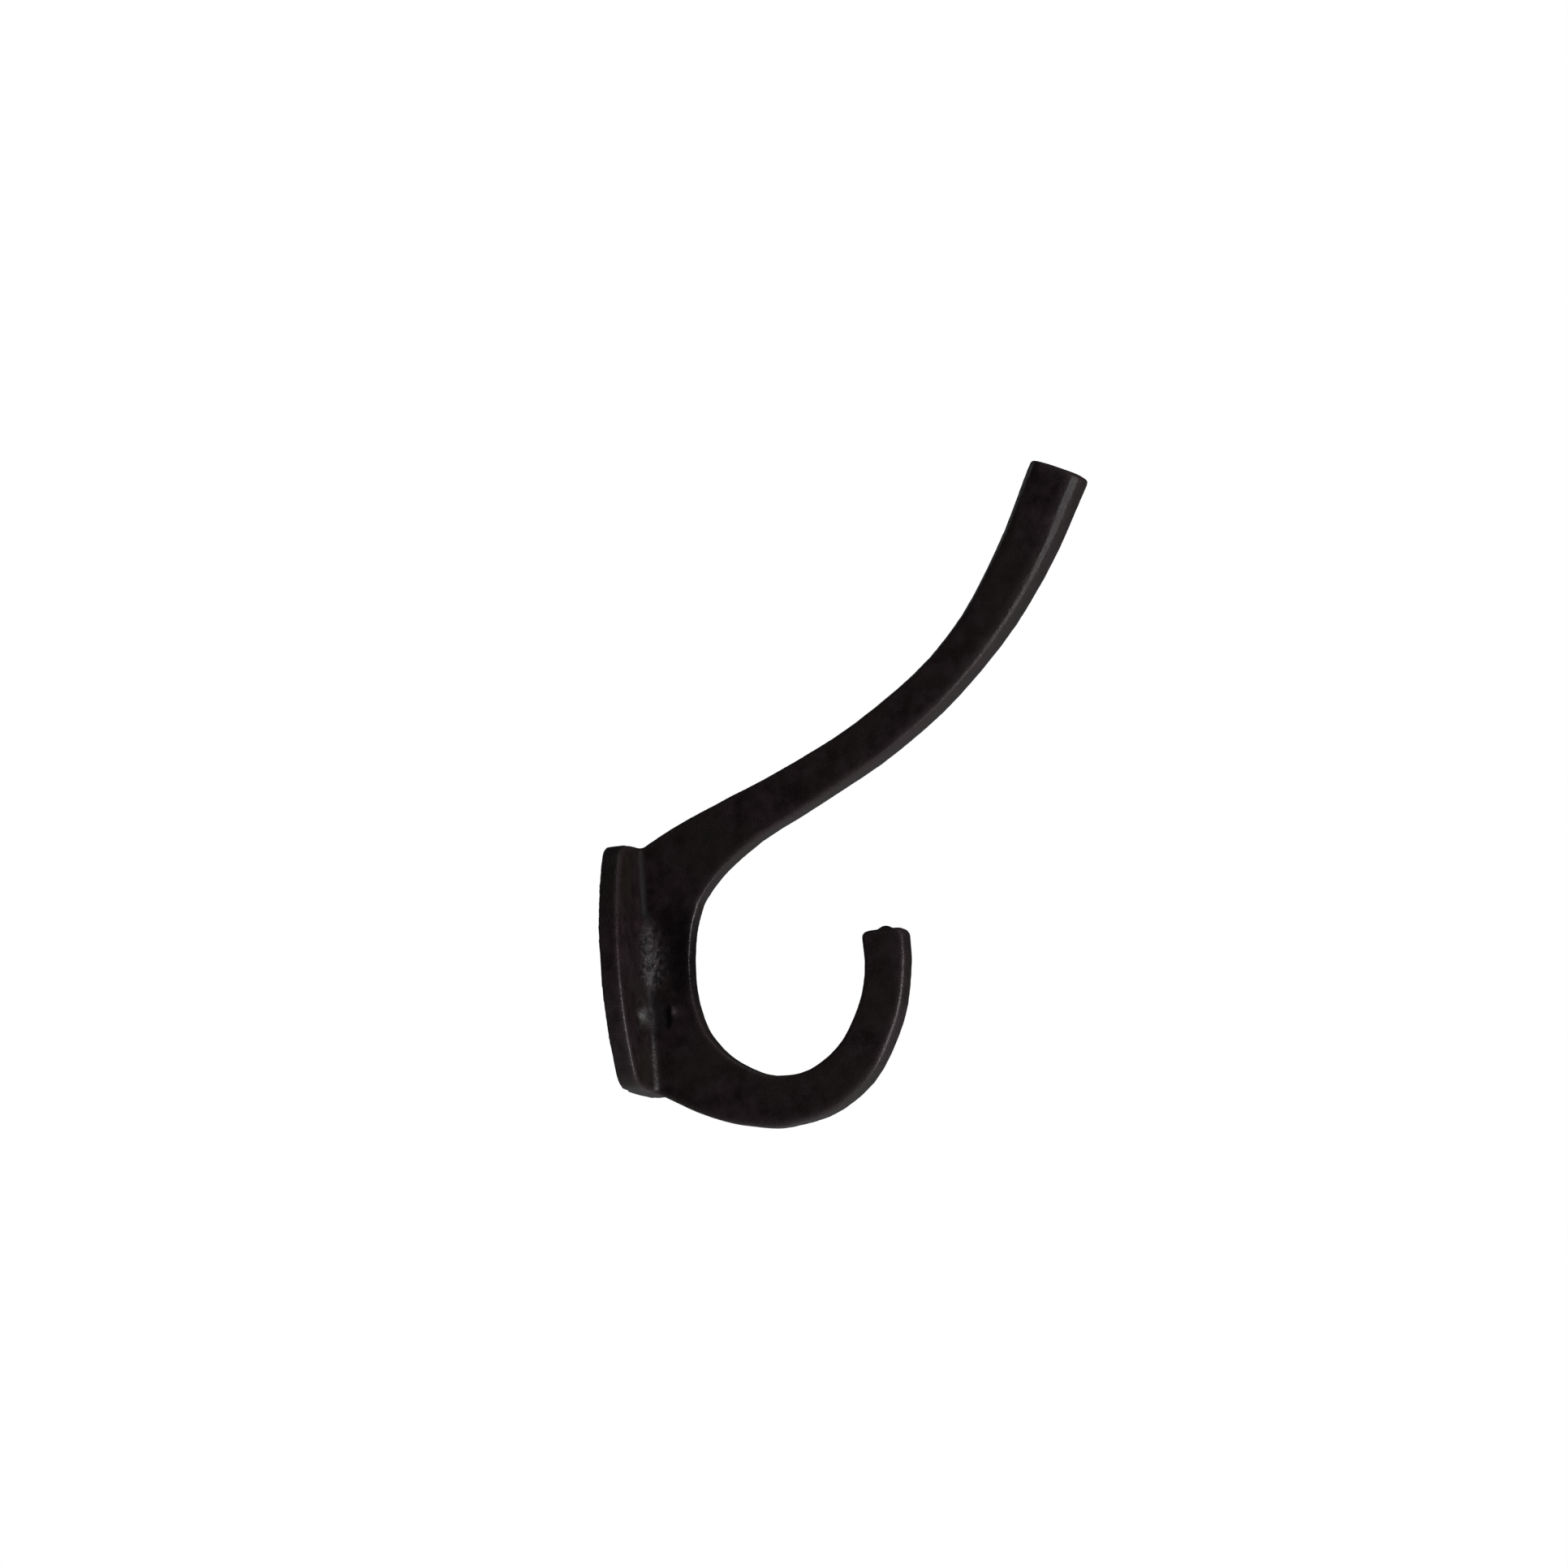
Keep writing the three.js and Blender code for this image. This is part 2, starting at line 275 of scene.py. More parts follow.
def bar_tree(material):
    """The bar: a rounded section carried along the ruled strip between two edges, with both tips rounded off."""
    tree = bpy.data.node_groups.new("cast_bar", "GeometryNodeTree")
    names = add_inputs(
        tree,
        [
            ("Inner edge", "NodeSocketObject"),
            ("Outer edge", "NodeSocketObject"),
            ("Steps between stations", "NodeSocketInt"),
            ("Points round the section", "NodeSocketInt"),
            ("Web thickness", "NodeSocketFloat"),
            ("Hat tip thickness", "NodeSocketFloat"),
            ("Coat tip thickness", "NodeSocketFloat"),
            ("Web arris", "NodeSocketFloat"),
            ("Hat tip arris", "NodeSocketFloat"),
            ("Coat tip arris", "NodeSocketFloat"),
            ("Arris fullness", "NodeSocketFloat"),
            ("Hat tip rounding", "NodeSocketFloat"),
            ("Coat tip rounding", "NodeSocketFloat"),
        ],
    )
    given = tree.nodes.new("NodeGroupInput").outputs
    math_node, vector_node, range_node = "ShaderNodeMath", "ShaderNodeVectorMath", "ShaderNodeMapRange"

    # Both edges as smooth curves with one point for each step, so that points with one index lie across the bar.
    edges = []
    for side in ("Inner edge", "Outer edge"):
        source = add_node(tree, "GeometryNodeObjectInfo", given[side], transform_space="ORIGINAL")
        bezier = add_node(tree, "GeometryNodeCurveSplineType", source.outputs["Geometry"], spline_type="BEZIER")
        smooth = add_node(tree, "GeometryNodeCurveSetHandles", bezier, handle_type="AUTO", mode={"LEFT", "RIGHT"})
        fine = add_node(
            tree, "GeometryNodeSetSplineResolution", smooth, at={"Resolution": given["Steps between stations"]}
        )
        edges.append(add_node(tree, "GeometryNodeCurveToPoints", fine, mode="EVALUATED"))
    size = add_node(tree, "GeometryNodeAttributeDomainSize", edges[0], component="POINTCLOUD")
    last = add_node(tree, math_node, size.outputs["Point Count"], 1.0, operation="SUBTRACT")
    rings = add_node(tree, math_node, last, 2.0 * TIP_RINGS, operation="ADD")

    tube = add_node(
        tree,
        "GeometryNodeMeshCylinder",
        at={"Vertices": given["Points round the section"], "Side Segments": rings, "Radius": 1.0, "Depth": 1.0},
        fill_type="NGON",
    )
    place = add_node(tree, "GeometryNodeInputPosition")
    round_section = add_node(tree, "ShaderNodeSeparateXYZ", place)
    lift = add_node(tree, math_node, round_section.outputs["Z"], 0.5, operation="ADD")
    ring_share = add_node(tree, math_node, lift, rings, operation="MULTIPLY")
    ring = add_node(tree, math_node, ring_share, operation="ROUND")
    station_ring = add_node(tree, math_node, ring, float(TIP_RINGS), operation="SUBTRACT")
    sampled = [
        add_node(
            tree,
            "GeometryNodeSampleIndex",
            edge,
            at={"Value": place, "Index": station_ring},
            data_type="FLOAT_VECTOR",
            clamp=True,
        )
        for edge in edges
    ]
    across = add_node(tree, vector_node, sampled[1], sampled[0], operation="SUBTRACT")
    breadth = add_node(tree, vector_node, across, operation="LENGTH").outputs["Value"]
    outward = add_node(tree, vector_node, across, operation="NORMALIZE")
    onward = add_node(tree, vector_node, outward, (1.0, 0.0, 0.0), operation="CROSS_PRODUCT")
    both = add_node(tree, vector_node, sampled[0], sampled[1], operation="ADD")
    middle = add_node(tree, vector_node, both, (0.5, 0.5, 0.5), operation="MULTIPLY")
    middle_at = add_node(tree, "ShaderNodeSeparateXYZ", middle)

    # Shares of the way along each prong.
    hat = add_node(tree, range_node, middle_at.outputs["Z"], HAT_FLARE[0] * MM, HAT_FLARE[1] * MM)
    below = add_node(
        tree, "FunctionNodeCompare", middle_at.outputs["Z"], THROAT_HEIGHT * MM, operation="LESS_THAN"
    )
    coat_way = add_node(tree, range_node, middle_at.outputs["Y"], -COAT_FLARE[0] * MM, -COAT_FLARE[1] * MM)
    coat = add_node(tree, math_node, coat_way, below, operation="MULTIPLY")
    late_hat = add_node(tree, math_node, hat, HAT_ARRIS_POWER, operation="POWER")
    grown = []
    for web, hat_tip, coat_tip, hat_share in (
        ("Web thickness", "Hat tip thickness", "Coat tip thickness", hat),
        ("Web arris", "Hat tip arris", "Coat tip arris", late_hat),
    ):
        hat_gain = add_node(tree, math_node, given[hat_tip], given[web], operation="SUBTRACT")
        with_hat = add_node(tree, math_node, hat_gain, hat_share, given[web], operation="MULTIPLY_ADD")
        coat_gain = add_node(tree, math_node, given[coat_tip], given[web], operation="SUBTRACT")
        grown.append(add_node(tree, math_node, coat_gain, coat, with_hat, operation="MULTIPLY_ADD"))
    thickness, arris = grown

    # Each tip is rounded by a quarter circle over its last rings.
    end_ring = add_node(tree, math_node, last, float(TIP_RINGS), operation="ADD")
    insets, shifts = [], []
    for radius, ring_from, ring_to, inside, way in (
        (given["Hat tip rounding"], float(TIP_RINGS), 0.0, "LESS_THAN", 1.0),
        (given["Coat tip rounding"], end_ring, rings, "GREATER_THAN", -1.0),
    ):
        turn = add_node(tree, range_node, ring, ring_from, ring_to, 0.0, math.pi / 2)
        cosine = add_node(tree, math_node, turn, operation="COSINE")
        drawn_in = add_node(tree, math_node, 1.0, cosine, operation="SUBTRACT")
        insets.append(add_node(tree, math_node, drawn_in, radius, operation="MULTIPLY"))
        sine = add_node(tree, math_node, turn, operation="SINE")
        back = add_node(tree, math_node, 1.0, sine, operation="SUBTRACT")
        in_tip = add_node(tree, math_node, ring_from, 0.5 * way, operation="ADD")
        here = add_node(tree, "FunctionNodeCompare", ring, in_tip, operation=inside)
        shift = add_node(tree, math_node, back, here, operation="MULTIPLY")
        scaled = add_node(tree, math_node, shift, radius, operation="MULTIPLY")
        shifts.append(add_node(tree, math_node, scaled, way, operation="MULTIPLY"))
    inset = add_node(tree, math_node, *insets, operation="ADD")
    shift = add_node(tree, math_node, *shifts, operation="ADD")

    # The section: flats joined by arrises. A fullness of 2 makes them round, and one near 1 makes them flat.
    turned = add_node(tree, math_node, round_section.outputs["X"], operation="ABSOLUTE")
    on_arris = add_node(tree, range_node, turned, *FLAT_LIMITS)
    off_arris = add_node(tree, math_node, 1.0, on_arris, operation="SUBTRACT")
    root = add_node(tree, math_node, 1.0, given["Arris fullness"], operation="DIVIDE")
    sides = []
    for whole, direction, share in ((breadth, "X", on_arris), (thickness, "Y", off_arris)):
        half = add_node(tree, math_node, whole, 0.5, operation="MULTIPLY")
        kept = add_node(tree, math_node, half, inset, operation="SUBTRACT")
        flat = add_node(tree, math_node, kept, arris, operation="SUBTRACT")
        turn = round_section.outputs[direction]
        steep = add_node(tree, math_node, turn, 1 / FLAT_LIMITS[0], operation="MULTIPLY")
        held = add_node(tree, "ShaderNodeClamp", steep, -1.0, 1.0)
        on_flat = add_node(tree, math_node, held, flat, operation="MULTIPLY")
        way = add_node(tree, math_node, turn, operation="SIGN")
        out = add_node(tree, math_node, share, root, operation="POWER")
        past = add_node(tree, math_node, out, arris, operation="MULTIPLY")
        sides.append(add_node(tree, math_node, past, way, on_flat, operation="MULTIPLY_ADD"))
    reach = add_node(tree, vector_node, outward, at={"Scale": sides[0]}, operation="SCALE")
    sideways = add_node(tree, "ShaderNodeCombineXYZ", sides[1])
    moved = add_node(tree, vector_node, onward, at={"Scale": shift}, operation="SCALE")
    place_now = middle
    for part in (reach, sideways, moved):
        place_now = add_node(tree, vector_node, place_now, part, operation="ADD")
    shaped = add_node(tree, "GeometryNodeSetPosition", tube.outputs["Mesh"], at={"Position": place_now})
    whole = add_node(tree, "GeometryNodeRealizeInstances", shaped)
    painted = add_node(tree, "GeometryNodeSetMaterial", whole, at={"Material": material})
    add_node(tree, "NodeGroupOutput", painted)
    return tree, names


def make_bar(sizes, material):
    tree, names = bar_tree(material)
    edges = [edge_curve(f"edge_{i}", [station[i] for station in STATIONS]) for i in (0, 1)]
    bar = mesh_object("bar", bpy.data.meshes.new("bar"))
    modifier = bar.modifiers.new("loft", "NODES")
    modifier.node_group = tree
    for name, value in {
        "Inner edge": edges[0],
        "Outer edge": edges[1],
        "Steps between stations": STATION_STEPS,
        "Points round the section": SECTION_POINTS,
        "Web thickness": sizes.web_thickness,
        "Hat tip thickness": sizes.hat_tip_thickness,
        "Coat tip thickness": sizes.coat_tip_thickness,
        "Web arris": sizes.web_arris,
        "Hat tip arris": sizes.hat_tip_arris,
        "Coat tip arris": sizes.coat_tip_arris,
        "Arris fullness": sizes.arris_fullness,
        "Hat tip rounding": sizes.hat_tip_rounding,
        "Coat tip rounding": sizes.coat_tip_rounding,
    }.items():
        modifier[names[name]] = value
    applied(bar)
    for edge in edges:
        bpy.data.objects.remove(edge)
    return bar


def plate_outline():
    """The plate's outline in mm: two bowed sides and two bowed ends, with the corners between them rounded."""
    half_width, half_height, end_half = PLATE_WIDTH / 2, PLATE_HEIGHT / 2, PLATE_END_WIDTH / 2
    corner_height = half_height - PLATE_END_RISE
    side_radius = (corner_height**2 + (half_width - end_half) ** 2) / (2 * (half_width - end_half))
    end_radius = (end_half**2 + PLATE_END_RISE**2) / (2 * PLATE_END_RISE)
    side_turn = math.asin(corner_height / side_radius) - PLATE_CORNER / side_radius
    end_turn = math.asin(end_half / end_radius) - PLATE_CORNER / end_radius
    arcs = []
    for cx, cz, radius, facing, turn in (
        (half_width - side_radius, 0, side_radius, 0, side_turn),
        (0, half_height - end_radius, end_radius, math.pi / 2, end_turn),
        (side_radius - half_width, 0, side_radius, math.pi, side_turn),
        (0, end_radius - half_height, end_radius, 1.5 * math.pi, end_turn),
    ):
        angles = [facing - turn + 2 * turn * i / PLATE_ARC_STEPS for i in range(PLATE_ARC_STEPS + 1)]
        arcs.append([Vector((cx + radius * math.cos(a), cz + radius * math.sin(a))) for a in angles])
    outline = []
    for i, (across, up) in enumerate(((1, 1), (-1, 1), (-1, -1), (1, -1))):
        meeting = Vector((across * end_half, up * corner_height))
        outline += arcs[i]
        for step in range(1, PLATE_CORNER_STEPS):
            t = step / PLATE_CORNER_STEPS
            start, end = arcs[i][-1], arcs[(i + 1) % 4][0]
            outline.append((1 - t) ** 2 * start + 2 * t * (1 - t) * meeting + t**2 * end)
    return outline


def make_plate(plate_front):
    """The wall plate without its screw holes."""
    half_width, half_height = PLATE_WIDTH / 2, PLATE_HEIGHT / 2
    outline = plate_outline()
    outlines = []
    for out, inset in ((0, 0), *((plate_front - back, inset) for back, inset in PLATE_ARRIS)):
        wide, tall = 1 - inset / half_width, 1 - inset / half_height
        outlines.append([placed(x * wide, out, z * tall) for x, z in outline])
    return ringed_solid("plate", outlines)


def interpolated(table, x):
    """A value read from a table of (x, value) pairs, whose x falls from each row to the next."""
    for (x0, v0), (x1, v1) in zip(table, table[1:]):
        if x >= x1:
            return v0 + (v1 - v0) * min(1, (x0 - x) / (x0 - x1))
    return table[-1][1]


def make_fillet(side, table, web_half, plate_front):
    """The concave fillet between the web and the plate's face on one side, with its radius by height."""
    top, bottom = table[0][0], table[-1][0]
    count = round((top - bottom) / FILLET_STEP)
    into_web, into_plate = web_half - FILLET_SINK, plate_front - FILLET_SINK
    outlines = []
    for i in range(count + 1):
        height = top + (bottom - top) * i / count
        radius = interpolated(table, height)
        section = [(into_web, into_plate), (into_web, plate_front + radius)]
        for step in range(FILLET_ARC_STEPS + 1):
            turn = math.pi / 2 * step / FILLET_ARC_STEPS
            across = web_half + radius * (1 - math.cos(turn))
            section.append((across, plate_front + radius * (1 - math.sin(turn))))
        section.append((web_half + radius, into_plate))
        outlines.append([placed(side * across, out, height) for across, out in section])
    return ringed_solid("fillet", outlines)


def make_lump(centre, half_sizes):
    """A small ellipsoid of iron, given in mm."""
    built = bmesh.new()
    across, projection, height = half_sizes
    spot = Matrix.Translation(placed(*centre)) @ Matrix.Diagonal((across, projection, height, 1))
    bmesh.ops.create_uvsphere(built, u_segments=20, v_segments=12, radius=MM, matrix=spot)
    mesh = bpy.data.meshes.new("lump")
    built.to_mesh(mesh)
    built.free()
    return mesh_object("lump", mesh)


def make_screw_clearance(across, height):
    """The hole, its countersink and the driver's way in, as a solid turned about the screw's axis."""
    turns = [2 * math.pi * i / SCREW_STEPS for i in range(SCREW_STEPS)]
    outlines = [
        [placed(across + radius * math.cos(turn), out, height + radius * math.sin(turn)) for turn in turns]
        for radius, out in SCREW_PROFILE
    ]
    return ringed_solid("screw_clearance", outlines)


def remeshed(made):
    modifier = made.modifiers.new("even", "REMESH")
    modifier.mode = "VOXEL"
    modifier.voxel_size = VOXEL * MM
    return applied(made)


def joined(name, parts):
    """Several mesh objects as one, with its place in its mesh."""
    built = bmesh.new()
    for part in parts:
        built.from_mesh(part.data)
    mesh = bpy.data.meshes.new(name)
    built.to_mesh(mesh)
    built.free()
    for part in parts:
        bpy.data.objects.remove(part)
    return mesh_object(name, mesh)


def skin_tree(material):
    """The sand's print on the casting: softened corners, swells, grain and the rough patch at the web's root.

    It also stores, as attributes, where the finish differs (arris, patch, worn) and where shade is painted
    (corners and recess, and beside the throat).
    """
    tree = bpy.data.node_groups.new("cast_skin", "GeometryNodeTree")
    tree.interface.new_socket("Geometry", in_out="INPUT", socket_type="NodeSocketGeometry")
    names = add_inputs(
        tree,
        [
            ("Softening", "NodeSocketInt"),
            ("Swell size", "NodeSocketFloat"),
            ("Swell depth", "NodeSocketFloat"),
            ("Grain size", "NodeSocketFloat"),
            ("Grain depth", "NodeSocketFloat"),
            ("Patch lump size", "NodeSocketFloat"),
            ("Patch lump depth", "NodeSocketFloat"),
            ("Seed", "NodeSocketFloat"),
        ],
    )
    given = tree.nodes.new("NodeGroupInput").outputs
    math_node, vector_node, range_node = "ShaderNodeMath", "ShaderNodeVectorMath", "ShaderNodeMapRange"
    place = add_node(tree, "GeometryNodeInputPosition")
    normal = add_node(tree, "GeometryNodeInputNormal")
    eased = add_node(
        tree,
        "GeometryNodeBlurAttribute",
        at={"Value": place, "Iterations": given["Softening"]},
        data_type="FLOAT_VECTOR",
    )
    soft = add_node(tree, "GeometryNodeSetPosition", given["Geometry"], at={"Position": eased})

    # How far each point stands out from its surroundings: high on arrises, low in corners and pits.
    around = add_node(
        tree,
        "GeometryNodeBlurAttribute",
        at={"Value": place, "Iterations": SURROUNDINGS_PASSES},
        data_type="FLOAT_VECTOR",
    )
    proud = add_node(tree, vector_node, place, around, operation="SUBTRACT")
    outwards = add_node(tree, vector_node, proud, normal, operation="DOT_PRODUCT").outputs["Value"]
    arris = add_node(tree, range_node, outwards, *(limit * MM for limit in PROUD_LIMITS))
    # How far a point lies below its surroundings, which sets the painted shade in the web's root corners.
    sunken = add_node(tree, range_node, outwards, *(limit * MM for limit in SUNKEN_LIMITS), 0.0, CORNER_SHADE)

    # The places where the finish differs or shade is painted, with edges torn by a noise of about 1.4 mm.
    ragged = add_node(tree, "ShaderNodeTexNoise", at={"Vector": place, "Scale": 700.0, "Detail": 3.0})
    shares = []
    for centre, reach, fades_from in (PATCH, PAINTED_THROAT_SHADE, RECESS, HIGH_CORNER, LOW_CORNER):
        from_centre = add_node(tree, vector_node, place, tuple(v * MM for v in centre), operation="SUBTRACT")
        shaped = add_node(tree, vector_node, from_centre, tuple(v * MM for v in reach), operation="DIVIDE")
        away = add_node(tree, vector_node, shaped, operation="LENGTH").outputs["Value"]
        torn = add_node(tree, math_node, ragged.outputs[0], PLACE_RAGGEDNESS, away, operation="MULTIPLY_ADD")
        shares.append(add_node(tree, range_node, torn, fades_from, PLACE_END, 1.0, 0.0))
    patch, pool, recess, high_corner, low_corner = shares
    # Painted shade in the web's root corners, where they lie sunken, and in the low screw's recess.
    by_corner = add_node(tree, math_node, high_corner, low_corner, operation="MAXIMUM")
    corner = add_node(tree, math_node, sunken, by_corner, operation="MULTIPLY")
    dusty = add_node(tree, math_node, corner, recess, operation="MAXIMUM")

    # The hat prong's arrises are worn towards its tip: that part faces half sideways.
    facing = add_node(tree, "ShaderNodeSeparateXYZ", normal)
    sideways = add_node(tree, math_node, facing.outputs["X"], 2.0, operation="POWER")
    edgeways = add_node(tree, math_node, 1.0, sideways, operation="SUBTRACT")
    diagonal = add_node(tree, math_node, sideways, edgeways, operation="MULTIPLY")
    on_arris = add_node(tree, range_node, diagonal, *DIAGONAL_LIMITS)
    height_at = add_node(tree, "ShaderNodeSeparateXYZ", place)
    up_hat = add_node(tree, range_node, height_at.outputs["Z"], WORN_HEIGHTS[0] * MM, WORN_HEIGHTS[1] * MM)
    worn = add_node(tree, math_node, on_arris, up_hat, operation="MULTIPLY")
    marked = soft
    for name, value in (("arris", arris), ("patch", patch), ("worn", worn), ("dusty", dusty), ("pool", pool)):
        marked = add_node(
            tree,
            "GeometryNodeStoreNamedAttribute",
            marked,
            at={"Name": name, "Value": value},
            data_type="FLOAT",
            domain="POINT",
        )

    heights = []
    for size, depth, detail in (
        ("Swell size", "Swell depth", 1.0),
        ("Grain size", "Grain depth", 3.0),
        ("Patch lump size", "Patch lump depth", 2.0),
    ):
        scale = add_node(tree, math_node, 1.0, given[size], operation="DIVIDE")
        noise = add_node(
            tree,
            "ShaderNodeTexNoise",
            at={"Vector": place, "W": given["Seed"], "Scale": scale, "Detail": detail, "Roughness": 0.6},
            noise_dimensions="4D",
        )
        centred = add_node(tree, math_node, noise.outputs[0], 0.5, operation="SUBTRACT")
        heights.append(add_node(tree, math_node, centred, given[depth], operation="MULTIPLY"))
    swell, grain, lumps = heights
    coarser = add_node(tree, math_node, worn, 1.0, 1.0, operation="MULTIPLY_ADD")
    grain = add_node(tree, math_node, grain, coarser, operation="MULTIPLY")
    lumps = add_node(tree, math_node, lumps, patch, operation="MULTIPLY")
    total = add_node(tree, math_node, swell, grain, operation="ADD")
    total = add_node(tree, math_node, total, lumps, operation="ADD")
    push = add_node(tree, vector_node, normal, at={"Scale": total}, operation="SCALE")
    rough = add_node(tree, "GeometryNodeSetPosition", marked, at={"Offset": push})
    smooth = add_node(tree, "GeometryNodeSetShadeSmooth", rough)
    whole = add_node(tree, "GeometryNodeRealizeInstances", smooth)
    painted = add_node(tree, "GeometryNodeSetMaterial", whole, at={"Material": material})
    add_node(tree, "NodeGroupOutput", painted)
    return tree, names


def lacquered_iron(finish):
    """Black lacquer brushed thin over sand-cast grey iron.

    The eye sees a warm black with a satin sheen, fine pits from the sand, and rubbed arrises a little brighter.
    Shade is painted darker into the pits, the patch's gaps, the web's root corners, the screw's recess and beside
    the throat, and a highlight is painted lighter onto the patch's flakes.
    """
    material = bpy.data.materials.new("lacquered_cast_iron")
    material.use_nodes = True
    tree = material.node_tree
    tree.nodes.clear()
    math_node, mix_node, noise_node, range_node = (
        "ShaderNodeMath",
        "ShaderNodeMix",
        "ShaderNodeTexNoise",
        "ShaderNodeMapRange",
    )
    place = add_node(tree, "ShaderNodeTexCoord").outputs["Object"]
    arris, patch, worn, dusty, pool = (
        add_node(tree, "ShaderNodeAttribute", attribute_name=name).outputs["Fac"]
        for name in ("arris", "patch", "worn", "dusty", "pool")
    )

    # Noises as (width in mm, detail, roughness): the drift of the lacquer's hue, its mottling where it lies
    # thicker or thinner, the ragged pits left by loose sand, the flakes in the rough patch, and the sand
    # grains, which are drawn coarser than the real grit so that they show.
    drift, mottle, pits, flakes, grit = (
        add_node(
            tree,
            noise_node,
            at={"Vector": place, "Scale": 1 / (width * MM), "Detail": detail, "Roughness": roughness},
        ).outputs[0]
        for width, detail, roughness in (
            (11.765, 2.0, 0.5),
            (3.0303, 5.0, 0.6),
            (1.9231, 4.0, 0.7),
            (1.0, 3.0, 0.6),
            (0.41667, 3.0, 0.65),
        )
    )
    thin = add_node(tree, range_node, mottle, 0.35, 0.65)
    olive = add_node(tree, range_node, drift, 0.4, 0.62, 0.0, 0.8)
    # The pits are painted darker than the lacquer round them: painted shade in them.
    in_pit = add_node(tree, range_node, pits, 0.65, 0.70)
    rub_spots = add_node(tree, range_node, grit, 0.35, 0.65, 0.25, 1.0)
    rub = add_node(tree, math_node, arris, rub_spots, operation="MULTIPLY")
    in_patch = add_node(tree, range_node, patch, 0.1, 0.9)
    out_of_patch = add_node(tree, math_node, 1.0, in_patch, operation="SUBTRACT")
    # Where shade is painted, except in the rough patch: the corners, the recess and the web beside the throat.
    painted_shade_place = add_node(tree, math_node, dusty, pool, operation="MAXIMUM")
    painted_shade_share = add_node(tree, math_node, painted_shade_place, out_of_patch, operation="MULTIPLY")

    # In the rough patch, the flakes are painted lighter, a painted highlight for light caught by the lumps, and
    # the gaps between them dark, a painted shade.
    on_flake = add_node(tree, range_node, flakes, 0.42, 0.60)
    flake_light_and_shade = add_node(
        tree,
        mix_node,
        at={0: on_flake, 6: linear(finish.painted_shade_colour), 7: linear(finish.painted_flake_highlight)},
        data_type="RGBA",
    )
    # Each layer lies over the ones before it. The pits, the web's root corners, the screw's recess and the web
    # beside the throat are painted dark: painted shade.
    colour = linear(finish.lacquer_dark)
    for share, over in (
        (thin, linear(finish.lacquer_light)),
        (olive, linear(finish.lacquer_olive)),
        (in_pit, linear(finish.painted_shade_colour)),
        (rub, linear(finish.rubbed_arris)),
        (in_patch, flake_light_and_shade.outputs[2]),
        (painted_shade_share, linear(finish.painted_shade_colour)),
    ):
        colour = add_node(tree, mix_node, at={0: share, 6: colour, 7: over}, data_type="RGBA").outputs[2]

    # Worn places and the corners and recess with painted shade are duller, and rubbed arrises and the web beside
    # the throat glossier.
    roughness = add_node(tree, range_node, mottle, 0.3, 0.7, 0.34, 0.46)
    # The web beside the throat, darkened as painted shade, is also made glossier.
    gloss_in_throat_shade = add_node(tree, math_node, pool, out_of_patch, operation="MULTIPLY")
    for share, gain in ((worn, 0.14), (in_patch, 0.10), (arris, -0.03), (dusty, 0.45), (gloss_in_throat_shade, -0.12)):
        roughness = add_node(tree, math_node, share, gain, roughness, operation="MULTIPLY_ADD")

    half_worn = add_node(tree, math_node, worn, 0.7, operation="MULTIPLY")
    flaking = add_node(tree, math_node, in_patch, half_worn, operation="MAXIMUM")
    flake_relief = add_node(tree, math_node, flakes, flaking, operation="MULTIPLY")
    relief = grit
    for height, gain in ((in_pit, -0.2), (flake_relief, 2.8)):
        relief = add_node(tree, math_node, height, gain, relief, operation="MULTIPLY_ADD")
    bump = add_node(tree, "ShaderNodeBump", at={"Strength": 0.7, "Distance": 0.00014, "Height": relief})
    surface = add_node(
        tree,
        "ShaderNodeBsdfPrincipled",
        at={
            "Base Color": colour,
            "Roughness": roughness,
            "Normal": bump,
            "Metallic": 0.0,
            "IOR": 1.5,
            "Specular IOR Level": 0.25,
        },
    )
    add_node(tree, "ShaderNodeOutputMaterial", surface)
    return material


def lit_floor(colour):
    """A matt white acrylic table lit from beneath: an even pale floor that sends soft light up."""
    material = bpy.data.materials.new("opal_acrylic_table")
    material.use_nodes = True
    surface = material.node_tree.nodes["Principled BSDF"]
    surface.inputs["Base Color"].default_value = linear(colour)
    surface.inputs["Roughness"].default_value = 0.8
    surface.inputs["Emission Color"].default_value = linear(colour)
    surface.inputs["Emission Strength"].default_value = FLOOR_GLOW
    return material


class HookSizes(bpy.types.PropertyGroup):
    """Thicknesses and roundings of the bar"""

    web_thickness: bpy.props.FloatProperty(
        name="Web thickness",
        description="Thickness of the web across the hook",
        default=4.0 * MM,
        unit="LENGTH",
    )
    hat_tip_thickness: bpy.props.FloatProperty(
        name="Hat tip thickness",
        description="Thickness of the hat prong at its tip",
        default=8.4 * MM,
        unit="LENGTH",
    )
    coat_tip_thickness: bpy.props.FloatProperty(
        name="Coat tip thickness",
        description="Thickness of the coat prong at its tip",
        default=5.4 * MM,
        unit="LENGTH",
    )
    web_arris: bpy.props.FloatProperty(
        name="Web arris", description="Rounding of the web's long edges", default=0.35 * MM, unit="LENGTH"
    )
    hat_tip_arris: bpy.props.FloatProperty(
        name="Hat tip arris",
        description="Rounding of the hat prong's long edges at its tip",
        default=1.9 * MM,
        unit="LENGTH",
    )
    coat_tip_arris: bpy.props.FloatProperty(
        name="Coat tip arris",
        description="Rounding of the coat prong's long edges at its tip",
        default=0.6 * MM,
        unit="LENGTH",
    )
    arris_fullness: bpy.props.FloatProperty(
        name="Arris fullness", description="2 for round long edges, and near 1 for flat ones", default=1.15, min=1
    )
    hat_tip_rounding: bpy.props.FloatProperty(
        name="Hat tip rounding",
        description="Rounding round the hat prong's end",
        default=0.7 * MM,
        unit="LENGTH",
    )
    coat_tip_rounding: bpy.props.FloatProperty(
        name="Coat tip rounding",
        description="Rounding round the coat prong's end",
        default=1.2 * MM,
        unit="LENGTH",
    )


